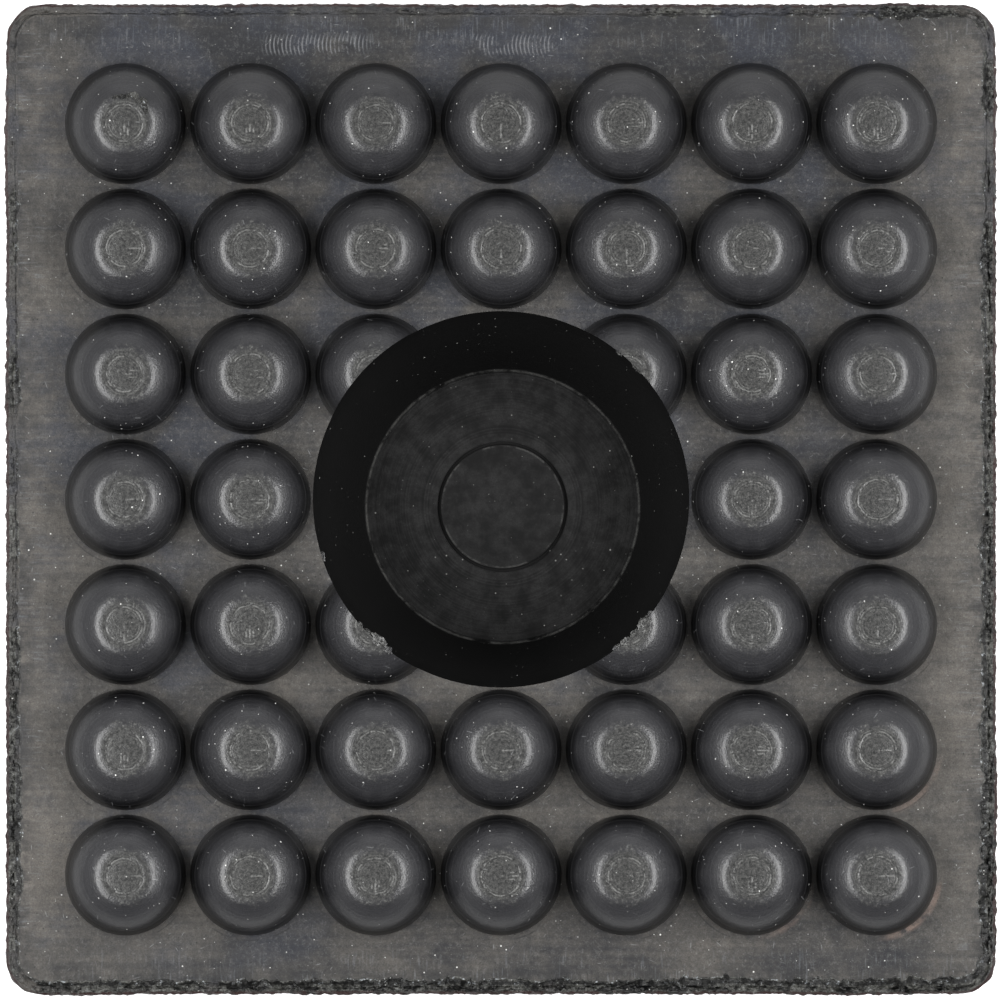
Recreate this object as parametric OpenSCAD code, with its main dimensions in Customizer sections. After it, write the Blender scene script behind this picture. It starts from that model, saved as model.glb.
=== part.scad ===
// Square rubber lift pad, moulded in one piece: a block whose face carries a
// grid of flat-topped dome studs round a tapered recess, with a thin rim of
// torn moulding flash round the face. The origin is the middle of the
// underside, and +Z points out of the studs. Sizes are in millimetres.

/* [Pad] */
// Width of the pad across its flash, both ways
pad_w = 120; // [90:0.5:160]
// Height of the pad, from its underside to the studs' flat tops
pad_h = 30; // [24:0.5:45]
// Draft of the block's sides, which narrow towards the underside
side_draft = 1.5; // [0:0.25:3]
// Radius of the block's upright corners at the underside
foot_corner_r = 1.8; // [1:0.1:8]
// Chamfer round the underside
foot_chamfer = 0.8; // [0.4:0.1:1.4]
// Chamfer round the face
face_chamfer = 0.5; // [0.2:0.1:0.8]

/* [Studs] */
// Distance between the middles of neighbouring studs
stud_pitch = 15.2; // [12:0.1:18]
// Gap between neighbouring studs at their feet
stud_gap = 0.5; // [0.2:0.1:3]
// Height cut off the top of each stud's ball, which leaves the flat
stud_cut = 0.75; // [0.45:0.05:1.5]
// Radius that blends the flat top into the ball
stud_blend = 1.5; // [0.8:0.1:2]
// Least width of face left between the outer studs and its edge
stud_border = 4; // [2:0.5:12]
// Least width of stud that is left standing where the recess cuts one
stud_least = 2; // [1:0.5:4]

/* [Recess] */
// Radius of the recess at the face, where it also cuts the nearest studs
mouth_r = 22.85; // [19:0.05:25]
// Radius of the recess at its floor
floor_r = 16.75; // [11:0.05:18]
// Chamfer between the floor and the wall
floor_chamfer = 0.4; // [0.2:0.1:1]
// Thickness of the rubber under the floor
floor_t = 7.4; // [4:0.1:12]
// Depth below the face at which the wall turns from straight to tapered
mouth_land = 0.5; // [0.2:0.1:2]
// How far the floor lies off the middle along X, because the core leaned
floor_shift_x = 0.2; // [-0.9:0.1:0.9]
// How far the floor lies off the middle along Y, because the core leaned
floor_shift_y = -0.9; // [-0.9:0.1:0.9]
// Radius of the ring that the core's fixing left in the floor
witness_r = 7.75; // [4:0.05:9]
// Width of that ring
witness_w = 0.4; // [0.2:0.1:0.8]
// Depth of that ring
witness_depth = 0.4; // [0.2:0.1:0.8]

/* [Flash] */
// How far the flash stands out from the block's side
flash_w = 1.1; // [0.6:0.1:2]
// Thickness of the flash
flash_t = 0.9; // [0.6:0.1:1.4]
// Depth of the deepest tears in the flash's edge
flash_tear = 0.4; // [0:0.05:0.5]
// Length of one tear along the flash's edge
flash_tear_l = 2; // [1.5:0.5:6]

/* [Hidden] */

$fn = 96;

// Cutters run this far past the faces that they open
clear = 1;
// Studs reach this far down into the block
root = 1;

// Studs: the largest ball that the pitch and the gap allow, and the blend's
// circle, which touches the ball inside and the flat top from below. The
// drawing gives its place in whole thousandths.
stud_r = (stud_pitch - stud_gap) / 2;
stud_h = stud_r - stud_cut;
blend_z = stud_h - stud_blend;
blend_x = round(1000 * sqrt((stud_r - stud_blend) ^ 2 - blend_z ^ 2)) / 1000;
blend_end = [blend_x, blend_z] * stud_r / (stud_r - stud_blend);

// Block: from the foot chamfer up to the face chamfer its sides move out, by
// a whole number of hundredths, as the mould's drawing would have it
block_h = pad_h - stud_h;
side_h = block_h - foot_chamfer - face_chamfer;
side_grow = round(100 * side_h * tan(side_draft)) / 100;
side_w = pad_w - 2 * flash_w;
foot_w = side_w - 2 * (foot_chamfer + side_grow);

// The side's section: how far out of the foot's edge it stands at each height
side_section = [
    [0, 0],
    [foot_chamfer, foot_chamfer],
    [foot_chamfer + side_grow, block_h - face_chamfer],
    [foot_chamfer + side_grow - face_chamfer, block_h]
];

// Grid: as many rows of studs on each side of the middle as the face holds
face_w = side_w - 2 * face_chamfer;
rows_each_side = floor((face_w / 2 - stud_border - stud_r) / stud_pitch);

// Recess: its wall is part of a leaning cone, whose radius grows by slope for
// each millimetre of height. The middles of the cone's level sections slide
// sideways by slide for each millimetre, a little faster than its axis does.
floor_shift = [floor_shift_x, floor_shift_y];
recess_depth = block_h - floor_t;
slope = (mouth_r - floor_r) / (recess_depth - mouth_land - floor_chamfer);
slide = -floor_shift / recess_depth;
lean = atan(norm(slide) / (1 + slope ^ 2));
apex_drop = floor_r / slope - floor_chamfer;

// Flash: its edge is a row of short tears between round corners
flash_corner_r = foot_corner_r + foot_chamfer + side_grow + flash_w;
flash_straight = pad_w / 2 - flash_corner_r;
flash_tears = round(2 * flash_straight / flash_tear_l);
flash_corner_steps = 6;

// The block: two crossed extrusions between four upright corner posts, all
// with the side's section.
module block() {
    reach = foot_w / 2 - foot_corner_r;
    right = [for (p = side_section) [foot_w / 2 + p.x, p.y]];
    left = [for (i = [len(right) - 1 : -1 : 0]) [-right[i].x, right[i].y]];
    for (turn = [0, 90])
        rotate([90, 0, turn])
            linear_extrude(height = 2 * reach, center = true)
                polygon(concat(right, left));
    for (x = [-reach, reach], y = [-reach, reach])
        translate([x, y, 0])
            rotate_extrude()
                polygon([[0, 0], for (p = side_section) [foot_corner_r + p.x, p.y], [0, block_h]]);
}

// Half the section of a stud, from its axis outwards: the ball up to the
// blend, the blend's own circle, and the core between the axis and the blend.
module stud_section() {
    intersection() {
        circle(r = stud_r);
        polygon([[0, -root], [stud_r, -root], [stud_r, blend_end.y], blend_end, [0, 0]]);
    }
    translate([blend_x, blend_z])
        circle(r = stud_blend);
    translate([0, -root])
        square([blend_x, stud_h + root]);
}

// One stud, whose ball has its middle in the face.
module stud() {
    rotate_extrude()
        stud_section();
}

// The grid of studs, without those that the recess would leave too little of.
module stud_grid() {
    steps = [-rows_each_side : rows_each_side];
    for (column = steps, row = steps) {
        place = [column, row] * stud_pitch;
        if (norm(place) + stud_r > mouth_r + stud_least)
            translate([place.x, place.y, block_h])
                stud();
    }
}

// A vertical cutter on the recess's floor, which chamfers the core's end.
module core_end() {
    outer_r = mouth_r + norm(floor_shift) + clear;
    h = pad_h - floor_t + clear;
    translate([floor_shift.x, floor_shift.y, floor_t])
        rotate_extrude()
            polygon([
                [0, 0], [floor_r - floor_chamfer, 0],
                [outer_r, outer_r - floor_r + floor_chamfer], [outer_r, h], [0, h]
            ]);
}

// The leaning cone of the recess's wall, from its point under the floor.
module core_cone() {
    h = apex_drop + pad_h;
    place = floor_shift - slide * apex_drop;
    translate([place.x, place.y, floor_t - apex_drop])
        rotate([0, lean, atan2(slide.y, slide.x)])
            cylinder(r1 = 0, r2 = h * slope, h = h);
}

// The core that leaves the recess: straight past the studs and down to just
// under the face, and from there on a leaning taper with a chamfered end.
module core() {
    intersection() {
        cylinder(r = mouth_r, h = pad_h + 2 * clear);
        core_cone();
        core_end();
    }
}

// The ring that the core's fixing left in the floor.
module witness_ring() {
    translate([floor_shift_x, floor_shift_y, floor_t - witness_depth])
        difference() {
            cylinder(r = witness_r + witness_w / 2, h = witness_depth + clear);
            translate([0, 0, -clear])
                cylinder(r = witness_r - witness_w / 2, h = witness_depth + 3 * clear);
        }
}

// The flash's edge on one side, from its first corner's end to the end of the
// corner after it, before the side is turned to its place. The side's number
// seeds its tears, so that no two sides are alike.
function flash_side(side) =
    let (depths = rands(0, flash_tear, flash_tears - 1, side + 1))
    [
        [pad_w / 2, -flash_straight],
        for (i = [1 : flash_tears - 1])
            [pad_w / 2 - depths[i - 1], flash_straight * (2 * i / flash_tears - 1)],
        for (i = [0 : flash_corner_steps - 1])
            let (angle = 90 * i / flash_corner_steps)
                [flash_straight, flash_straight] + flash_corner_r * [cos(angle), sin(angle)]
    ];

function turned(p, angle) =
    [p.x * cos(angle) - p.y * sin(angle), p.x * sin(angle) + p.y * cos(angle)];

// The flash: a thin plate with a torn edge, just below the face's chamfer.
module flash() {
    translate([0, 0, block_h - face_chamfer - flash_t])
        linear_extrude(height = flash_t)
            polygon([for (side = [0 : 3]) for (p = flash_side(side)) turned(p, 90 * side)]);
}

// The pad as it leaves the mould.
module lift_pad() {
    color([0.2, 0.2, 0.21])
        difference() {
            union() {
                block();
                flash();
                stud_grid();
            }
            core();
            witness_ring();
        }
}

lift_pad();
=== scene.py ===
# %% [markdown]
# # A moulded rubber lift pad
#
# The pad is one block of black rubber. It is pressed in a steel mould: a flat
# plate with round pockets makes the face and its studs, and a round core that is
# bolted to that plate leaves the recess. Where the plate meets the mould's frame
# a little rubber leaks out, and is torn off afterwards.
#
# This script builds the pad the same way. It makes the block, raises the studs on
# it, cuts the core out, and then gives each surface the finish that its part of
# the mould left on it.

# %% Load the frame
import math
import random

import bmesh
import bpy
from mathutils import Matrix, Vector, noise


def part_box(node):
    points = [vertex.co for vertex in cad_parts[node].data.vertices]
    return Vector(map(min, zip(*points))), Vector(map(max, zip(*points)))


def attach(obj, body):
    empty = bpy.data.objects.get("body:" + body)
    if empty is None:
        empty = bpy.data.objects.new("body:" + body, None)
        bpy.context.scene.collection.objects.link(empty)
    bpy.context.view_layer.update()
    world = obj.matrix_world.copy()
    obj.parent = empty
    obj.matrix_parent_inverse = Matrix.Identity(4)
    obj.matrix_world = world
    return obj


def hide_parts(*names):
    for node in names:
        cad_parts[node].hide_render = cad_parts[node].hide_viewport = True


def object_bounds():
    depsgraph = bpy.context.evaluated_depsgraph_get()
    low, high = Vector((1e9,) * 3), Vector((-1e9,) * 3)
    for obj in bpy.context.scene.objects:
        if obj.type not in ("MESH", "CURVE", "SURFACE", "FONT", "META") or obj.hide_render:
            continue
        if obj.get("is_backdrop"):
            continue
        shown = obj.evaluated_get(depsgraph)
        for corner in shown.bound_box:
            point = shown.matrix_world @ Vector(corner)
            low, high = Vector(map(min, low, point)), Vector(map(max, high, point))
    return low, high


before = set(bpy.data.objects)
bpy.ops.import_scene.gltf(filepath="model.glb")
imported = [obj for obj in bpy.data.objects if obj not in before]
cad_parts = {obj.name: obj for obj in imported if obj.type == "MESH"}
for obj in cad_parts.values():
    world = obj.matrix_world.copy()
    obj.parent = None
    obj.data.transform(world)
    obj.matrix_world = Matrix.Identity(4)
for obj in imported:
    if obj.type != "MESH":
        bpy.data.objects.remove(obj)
cad_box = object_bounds()
low, high = (Vector(corner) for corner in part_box("lift_pad"))
print("the pad measures", [round(1000 * side, 1) for side in high - low], "mm")

# %% [markdown]
# ## Sizes
#
# Everything is worked out from the pad's own box and a few sizes of its mould, in
# metres. `MM` keeps the numbers readable. Heights are counted from the underside.

# %% Sizes of the pad
MM = 0.001

STUD_PITCH = 15.2 * MM
STUD_RADIUS = 7.35 * MM
STUD_HEIGHT = 6.6 * MM
STUD_BLEND = 2.1 * MM
LEAST_STUD = 2 * MM
ROWS_EACH_SIDE = 3

HALF_WIDTH = high.x
FACE_Z = high.z - STUD_HEIGHT
FOOT_CORNER = 1.8 * MM
FOOT_CHAMFER = 0.8 * MM
SIDE_GROW = 0.58 * MM
FLASH_WIDTH = 1.1 * MM

MOUTH_RADIUS = 22.85 * MM
MOUTH_LAND = 0.5 * MM
FLOOR_RADIUS = 16.75 * MM
FLOOR_CHAMFER = 0.4 * MM
FLOOR_Z = 7.4 * MM
FLOOR_MIDDLE = Vector((0.2 * MM, -0.9 * MM))
WITNESS_RADIUS = 7.75 * MM
WITNESS_WIDTH = 0.4 * MM
WITNESS_DEPTH = 0.4 * MM

print("the face is", round(FACE_Z / MM, 2), "mm up")
print("the recess is", round((FACE_Z - FLOOR_Z) / MM, 2), "mm deep")

# %% [markdown]
# ## The camera
#
# The pad is looked at from straight above. A close camera would show the studs at
# the edge leaning outwards, and an orthographic one would show no lean at all. A long
# lens from far away leaves just a little of it. The lens is worked out from the width
# that the picture covers at the face.

# %% Camera
CAMERA_HEIGHT = 2.5
PICTURE_WIDTH = 121.4 * MM
AIM = Vector((-0.13 * MM, -0.08 * MM))

camera_data = bpy.data.cameras.new("camera")
camera_data.lens = camera_data.sensor_width * (CAMERA_HEIGHT - FACE_Z) / PICTURE_WIDTH
camera = bpy.data.objects.new("camera", camera_data)
camera.location = (AIM.x, AIM.y, CAMERA_HEIGHT)
bpy.context.collection.objects.link(camera)
bpy.context.scene.camera = camera
print("lens", round(camera_data.lens), "mm")

# %% [markdown]
# ## The lamps
#
# Black rubber shows little of its own colour. What the eye sees is the lamps,
# blurred in its satin surface. A sun or a point would leave one small dot on each
# stud, so the lamps are oblong. Two strips stand close by, left and right and about
# halfway up. They are long from front to back, so each stud shows them as a
# crescent, and so near that the crescents turn a little from row to row. A weak
# lamp stands low behind the pad.

# %% Lamps
STRIP_DISTANCE = 0.36
STRIP_SIZE = (0.36, 0.13)


def area_lamp(name, azimuth, elevation, distance, size, power):
    """An oblong lamp on a sphere round the pad, aimed at its middle."""
    data = bpy.data.lights.new(name, "AREA")
    data.shape = "RECTANGLE"
    data.size, data.size_y = size
    data.energy = power
    lamp = bpy.data.objects.new(name, data)
    turn, lift = math.radians(azimuth), math.radians(elevation)
    out = Vector((math.cos(lift) * math.sin(turn), math.cos(lift) * math.cos(turn), math.sin(lift)))
    lamp.location = distance * out
    lamp.rotation_euler = out.to_track_quat("Z", "Y").to_euler()
    bpy.context.collection.objects.link(lamp)


area_lamp("lamp_left", azimuth=-98, elevation=52, distance=STRIP_DISTANCE, size=STRIP_SIZE, power=1.06)
area_lamp("lamp_right", azimuth=92, elevation=50, distance=STRIP_DISTANCE, size=STRIP_SIZE, power=1.12)
area_lamp("lamp_back", azimuth=0, elevation=18, distance=1.4, size=(1.2, 0.5), power=1.2)

# %% [markdown]
# ## A little help for node trees
#
# The room, the table and each finish are trees of nodes. They could be written node
# by node and link by link, which is long to read. `Tree` adds nodes with few words:
# an input can be given as a number, a colour or another node's output. Lengths in
# the finishes are in millimetres, so a noise of scale 0.1 has patches of about 10 mm.

# %% Node helper
class Tree:
    """Adds nodes to one node tree."""

    def __init__(self, tree):
        self.tree = tree

    def put(self, value, socket):
        """Joins another node's output to an input, or writes a number or a colour into it."""
        if isinstance(value, bpy.types.NodeSocket):
            self.tree.links.new(value, socket)
        else:
            socket.default_value = value

    def node(self, kind, inputs=(), **settings):
        """Adds a node, sets its settings and fills its inputs."""
        node = self.tree.nodes.new("ShaderNode" + kind)
        for name, value in settings.items():
            setattr(node, name, value)
        for key, value in dict(inputs).items():
            self.put(value, node.inputs[key])
        return node

    def math(self, operation, first, second=0.0, clamp=False):
        return self.node("Math", {0: first, 1: second}, operation=operation, use_clamp=clamp).outputs[0]

    def plus(self, first, *others):
        for other in others:
            first = self.math("ADD", first, other)
        return first

    def minus(self, first, second):
        return self.math("SUBTRACT", first, second)

    def times(self, first, *others):
        for other in others:
            first = self.math("MULTIPLY", first, other)
        return first

    def size(self, value):
        """A value without its sign."""
        return self.math("ABSOLUTE", value)

    def off(self, value, middle):
        """How far a value is from a middle one, above or below it."""
        return self.size(self.minus(value, middle))

    def larger(self, first, second):
        return self.math("MAXIMUM", first, second)

    def ramp(self, value, start, end):
        """0 below start and 1 above end, smooth in between. It falls if end is below start."""
        inputs = {"Value": value, "From Min": start, "From Max": end}
        return self.node("MapRange", inputs, interpolation_type="SMOOTHSTEP").outputs[0]

    def spread(self, value, low, high):
        """Stretches a value of 0 to 1 to low to high."""
        return self.node("MapRange", {"Value": value, "To Min": low, "To Max": high}).outputs[0]

    def vector(self, operation, first, second=(0, 0, 0), output=0):
        return self.node("VectorMath", {0: first, 1: second}, operation=operation).outputs[output]

    def length(self, vector):
        return self.vector("LENGTH", vector, output="Value")

    def parts(self, vector):
        return self.node("SeparateXYZ", {0: vector}).outputs

    def join(self, x, y, z):
        return self.node("CombineXYZ", {0: x, 1: y, 2: z}).outputs[0]

    def choose(self, second_one, first, second):
        """The first value, or the second where second_one is 1."""
        return self.node("Mix", {0: second_one, 2: first, 3: second}).outputs[0]

    def noise(self, place, scale, detail=2.0, roughness=0.5):
        inputs = {"Vector": place, "Scale": scale, "Detail": detail, "Roughness": roughness}
        return self.node("TexNoise", inputs).outputs["Fac"]

    def millimetres(self):
        """The place on the piece, in millimetres."""
        place = self.node("TexCoord").outputs["Object"]
        return self.vector("MULTIPLY", place, (1000, 1000, 1000))

    def mix(self, share, first, second):
        """A colour between two colours."""
        return self.node("Mix", {0: share, 6: first, 7: second}, data_type="RGBA").outputs[2]

    def over(self, under, colour, *masks):
        """Lays a colour over another one, as densely as all the masks together let it."""
        return self.mix(self.times(*masks), under, colour)

    def scaled(self, colour, factor):
        """A colour times a factor."""
        return self.node("VectorMath", {0: colour, 3: factor}, operation="SCALE").outputs[0]

    def bump(self, height, distance, strength=1.0):
        return self.node("Bump", {"Strength": strength, "Distance": distance, "Height": height}).outputs[0]

    def group(self, group, **inputs):
        """Places a node group and joins its inputs."""
        return self.node("Group", inputs, node_tree=group).outputs


print("the node helper knows", sorted(name for name in vars(Tree) if not name.startswith("_")))

# %% [markdown]
# ## The room
#
# The dim room fills in what the lamps leave dark, and is darker towards the front.
# A picture of a studio could light the scene as well, but a world that goes evenly
# from dark to bright is enough for a black piece. The camera should see white
# behind the pad. More light would grey the rubber, so Light Path picks a white that
# only the camera sees, also through clear things. Glossy rays still see the dim
# room. With white in their place, the face and the studs come out too pale.

# %% Room
ROOM_FRONT = 0.11
ROOM_BACK = 0.38
WHITE = (1, 1, 1, 1)


def white_for_camera(tree, dim, bright):
    """Mixes two shaders: the bright one is what the camera sees, also through clear things."""
    path = tree.node("LightPath").outputs
    seen = tree.math("ADD", path["Is Camera Ray"], path["Is Transmission Ray"], clamp=True)
    return tree.node("MixShader", {0: seen, 1: dim, 2: bright}).outputs[0]


world = bpy.data.worlds.new("room")
world.use_nodes = True
world.node_tree.nodes.clear()
bpy.context.scene.world = world

tree = Tree(world.node_tree)
front_to_back = tree.parts(tree.node("TexCoord").outputs["Generated"])["Y"]
brightness = tree.node("MapRange", {"Value": front_to_back, "From Min": -1,
                                    "To Min": ROOM_FRONT, "To Max": ROOM_BACK}).outputs[0]
dim_room = tree.node("Background", {"Color": WHITE, "Strength": brightness}).outputs[0]
backdrop = tree.node("Background", {"Color": WHITE}).outputs[0]
tree.node("OutputWorld", {0: white_for_camera(tree, dim_room, backdrop)})

bpy.context.scene.view_settings.view_transform = "Standard"
print("the room's light goes from", ROOM_FRONT, "at the front to", ROOM_BACK, "at the back")

# %% [markdown]
# ## The table
#
# A white table. Lamps never light a table quite evenly, and brighter lamps would
# grey the rubber. So a little of the table's white is its own glow, which only the
# camera sees. The pad's shadow still shows.

# %% Table
TABLE_SIZE = 3.0
TABLE_GLOW = 0.7
TABLE_PAINT = (0.8, 0.8, 0.8, 1)

bm = bmesh.new()
bmesh.ops.create_grid(bm, x_segments=1, y_segments=1, size=TABLE_SIZE / 2)
table_mesh = bpy.data.meshes.new("table")
bm.to_mesh(table_mesh)
bm.free()
table = bpy.data.objects.new("table", table_mesh)
bpy.context.collection.objects.link(table)

table_material = bpy.data.materials.new("table_white")
table_material.use_nodes = True
table_material.node_tree.nodes.clear()
tree = Tree(table_material.node_tree)
paint = tree.node("BsdfDiffuse", {"Color": TABLE_PAINT}).outputs[0]
glow = tree.node("Emission", {"Strength": TABLE_GLOW}).outputs[0]
glowing = tree.node("AddShader", {0: paint, 1: glow}).outputs[0]
tree.node("OutputMaterial", {0: white_for_camera(tree, paint, glowing)})
table_mesh.materials.append(table_material)
table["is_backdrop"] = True
print("the table is", TABLE_SIZE, "m wide")

# %% [markdown]
# ## Names of the finishes
#
# The materials come in later cells. Each is made by name here, so that the meshes
# can say which of their faces has which finish. One material that reads the height
# would need no names, but it could not tell a tear from the smooth face beside it.
#
# - `face_rubber`: what the milled steel plate and the frame left, with a grey bloom.
# - `stud_rubber`: the domes, blacker and smoother.
# - `core_rubber`: the wall and floor of the recess, off the turned core.
# - `torn_rubber`: the edge where the flash was torn off.

# %% Names of the finishes
def new_material(name):
    material = bpy.data.materials.new(name)
    material.use_nodes = True
    return material


face_rubber = new_material("face_rubber")
stud_rubber = new_material("stud_rubber")
core_rubber = new_material("core_rubber")
torn_rubber = new_material("torn_rubber")
SLOTS = [face_rubber, stud_rubber, core_rubber, torn_rubber]
print("finishes:", [finish.name for finish in SLOTS])

# %% [markdown]
# ## Loops of a mould
#
# Each surface of the pad is a stack of closed loops: a loop is extruded, and the
# new loop is moved up or down and in or out. That is how a lathe or a milling
# cutter makes the mould too, one level at a time. Lists of corners and faces would
# give the same shapes, but nobody could read the level off them. `next_loop` does
# one such step.

# %% Loops
MERGE_DISTANCE = 0.0005 * MM


def next_loop(bm, loop, move):
    """Extrudes a closed loop of edges and gives each new corner the place move(corner) says."""
    made = bmesh.ops.extrude_edge_only(bm, edges=loop)["geom"]
    for corner in (part for part in made if isinstance(part, bmesh.types.BMVert)):
        corner.co = move(corner.co)
    return [part for part in made if isinstance(part, bmesh.types.BMEdge)
            and all(corner in made for corner in part.verts)]


def add_part(bm, part, finish):
    """Moves a part that is a bmesh of its own into a bigger one, with one finish."""
    for face in part.faces:
        face.material_index = SLOTS.index(finish)
    scratch = bpy.data.meshes.new("scratch")
    part.to_mesh(scratch)
    part.free()
    bm.from_mesh(scratch)
    bpy.data.meshes.remove(scratch)


def finish_mesh(bm, name):
    """Closes up a bmesh, points its faces outwards and makes it an object."""
    bmesh.ops.remove_doubles(bm, verts=bm.verts, dist=MERGE_DISTANCE)
    bmesh.ops.recalc_face_normals(bm, faces=bm.faces)
    mesh = bpy.data.meshes.new(name)
    bm.to_mesh(mesh)
    bm.free()
    for finish in SLOTS:
        mesh.materials.append(finish)
    piece = bpy.data.objects.new(name, mesh)
    bpy.context.collection.objects.link(piece)
    return piece


def measure(piece):
    """Prints how many triangles a piece has, and whether every edge has a face on both sides."""
    bm = bmesh.new()
    bm.from_mesh(piece.data)
    closed = all(edge.is_manifold for edge in bm.edges)
    bm.free()
    piece.data.calc_loop_triangles()
    print(piece.name, "has", len(piece.data.loop_triangles), "triangles, closed:", closed)


print("corners closer than", MERGE_DISTANCE / MM, "mm become one")

# %% [markdown]
# ## The block's outline
#
# Seen from above, the block is a square with round corners. A one-face grid gives
# the square, and a vertex bevel rounds its corners. A cube with one bevel on it
# would be quicker, but that makes all its edges alike. The square's edges are then
# cut into short lengths, fine enough for the torn edge to be ragged.
#
# `beyond` moves a point straight away from that outline. It first finds the
# nearest point of the straight-sided core of the square, so corners stay round.

# %% Outline of the block
OUTLINE_STEP = 0.24 * MM
CORNER_SEGMENTS = 18
FOOT_HALF = HALF_WIDTH - FLASH_WIDTH - FOOT_CHAMFER - SIDE_GROW
CORNER_MIDDLE = FOOT_HALF - FOOT_CORNER


def beyond(co, out, z):
    """The point at height z that stands out from the foot's outline, next to co."""
    inner = Vector([max(-CORNER_MIDDLE, min(CORNER_MIDDLE, value)) for value in co.xy])
    away = (co.xy - inner).normalized()
    flat = inner + (FOOT_CORNER + out) * away
    return Vector((flat.x, flat.y, z))


block = bmesh.new()
bmesh.ops.create_grid(block, x_segments=1, y_segments=1, size=FOOT_HALF)
bmesh.ops.bevel(block, geom=block.verts[:], offset=FOOT_CORNER, segments=CORNER_SEGMENTS,
                affect="VERTICES", profile=0.5, material=-1)
long_edges = [edge for edge in block.edges if edge.calc_length() > FOOT_HALF]
bmesh.ops.subdivide_edges(block, edges=long_edges, cuts=round(2 * CORNER_MIDDLE / OUTLINE_STEP))
print("the outline has", len(block.edges), "edges")

# %% [markdown]
# ## How much is torn
#
# The flash was torn away by hand, not cut, so more is gone in some places than in
# others. A painted mask could say where. A formula is easier to change: `wear` is
# least along the back edge and most at the front and the right, with patches of
# noise, and a few deeper tears at places that are listed. The lip also
# bulges out in a few places.

# %% Wear of the edge
# Bulges of the lip: the place along the outline, how far it bulges and how long it is.
BULGES = [
    (Vector((-60, 42)) * MM, 0.20 * MM, 6 * MM),
    (Vector((-60, 12)) * MM, 0.12 * MM, 5 * MM),
    (Vector((48, 60)) * MM, 0.32 * MM, 3 * MM),
    (Vector((60, 51)) * MM, 0.12 * MM, 3 * MM),
    (Vector((60, -36)) * MM, 0.18 * MM, 6 * MM),
    (Vector((-20, 60)) * MM, 0.10 * MM, 8 * MM),
    (Vector((42, -60)) * MM, 0.22 * MM, 5 * MM),
    (Vector((-52, -60)) * MM, 0.20 * MM, 6 * MM),
]

# Deeper tears: the place along the outline, how much more is torn there and how long it is.
TEARS = [
    (Vector((48, 60)) * MM, 0.75, 4 * MM),
    (Vector((56, 59)) * MM, 0.45, 4 * MM),
    (Vector((60, 51)) * MM, 0.60, 4 * MM),
    (Vector((60, 30)) * MM, 0.30, 6 * MM),
    (Vector((-60, 14)) * MM, 0.25, 6 * MM),
    (Vector((-58, 58)) * MM, 0.35, 4 * MM),
]

LEAST_WEAR = 0.08
WORN_CORNER = Vector((HALF_WIDTH, -HALF_WIDTH))
WORN_CORNER_REACH = 16 * MM


def near(co, places):
    """The sum of what a list of places gives here: less and less with the distance from each."""
    return sum(amount * math.exp(-((co.xy - middle).length / length) ** 2)
               for middle, amount, length in places)


def rough(co, size, seed):
    """Noise from about -1 to 1 whose lumps are as long as size."""
    place = Vector((co.x, co.y, 0)) / size + Vector((17.3 * seed, 5.1 * seed, 3.7 * seed))
    return noise.noise(place, noise_basis="PERLIN_ORIGINAL")


def crumbs(co, seed, fine=0.8):
    """Noise of several sizes at once, for torn rubber."""
    coarse = 0.35 * rough(co, 2.8 * MM, seed) + 0.5 * rough(co, 1.1 * MM, seed + 1)
    return coarse + fine * rough(co, 0.5 * MM, seed + 2)


def wear(co):
    """How much is torn off: near 0 where the edge is whole, 1 and more where all of it is gone."""
    side = 0.47 - 0.36 * co.y / HALF_WIDTH + 0.10 * co.x / HALF_WIDTH
    corner = math.exp(-(co.xy - WORN_CORNER).length / WORN_CORNER_REACH)
    patches = 0.40 * rough(co, 15 * MM, 40) + 0.45 * rough(co, 4 * MM, 44)
    return max(LEAST_WEAR, side + 0.4 * corner + patches + near(co, TEARS))


def share_of(drop, torn):
    """The part of a drop that there is where so much was torn off."""
    return drop * min(1.0, 0.05 + 1.2 * torn)


back, front = (wear(Vector((0, y, 0))) for y in (HALF_WIDTH, -HALF_WIDTH))
print("wear at the middle of the back edge", round(back, 2), "and of the front edge", round(front, 2))

# %% [markdown]
# ## The torn edge
#
# A thin dark lip stands out lowest, a crumbly slope climbs from it, and the smooth
# face ends in a ragged line. Displacing a finished edge with a modifier would push
# it evenly up and down. Here each loop of the edge is moved as it is made, by noise
# that runs along the edge, so the lip, the slope and the ragged line differ.

# %% Moves of the torn edge
SIDE_OUT = FOOT_CHAMFER + SIDE_GROW
LIP_OUT = SIDE_OUT + FLASH_WIDTH + 0.1 * MM
RAGGED_INSET = 1.18 * MM

# Each loop of the torn edge, from the underside of the lip to the crevice behind
# it: how far inside the lip's outline, how far under the face, and how much noise
# moves it outwards and upwards.
TORN_LOOPS = [
    (0.55 * MM, 1.42 * MM, 0.08 * MM, 0.04 * MM),
    (0.12 * MM, 1.32 * MM, 0.16 * MM, 0.08 * MM),
    (0.00 * MM, 1.08 * MM, 0.22 * MM, 0.12 * MM),
    (0.10 * MM, 0.86 * MM, 0.22 * MM, 0.15 * MM),
    (0.27 * MM, 0.66 * MM, 0.17 * MM, 0.30 * MM),
    (0.43 * MM, 0.52 * MM, 0.17 * MM, 0.45 * MM),
    (0.60 * MM, 0.50 * MM, 0.17 * MM, 0.55 * MM),
    (0.76 * MM, 0.62 * MM, 0.17 * MM, 0.60 * MM),
    (0.92 * MM, 0.70 * MM, 0.17 * MM, 0.60 * MM),
    (1.06 * MM, 0.60 * MM, 0.15 * MM, 0.50 * MM),
]
# So many loops make the lip, which stays low even where little is torn
LIP_LOOPS = 3
# So many loops have a crest below 0, which makes the rim brown
RIM_LOOPS = 5

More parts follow.
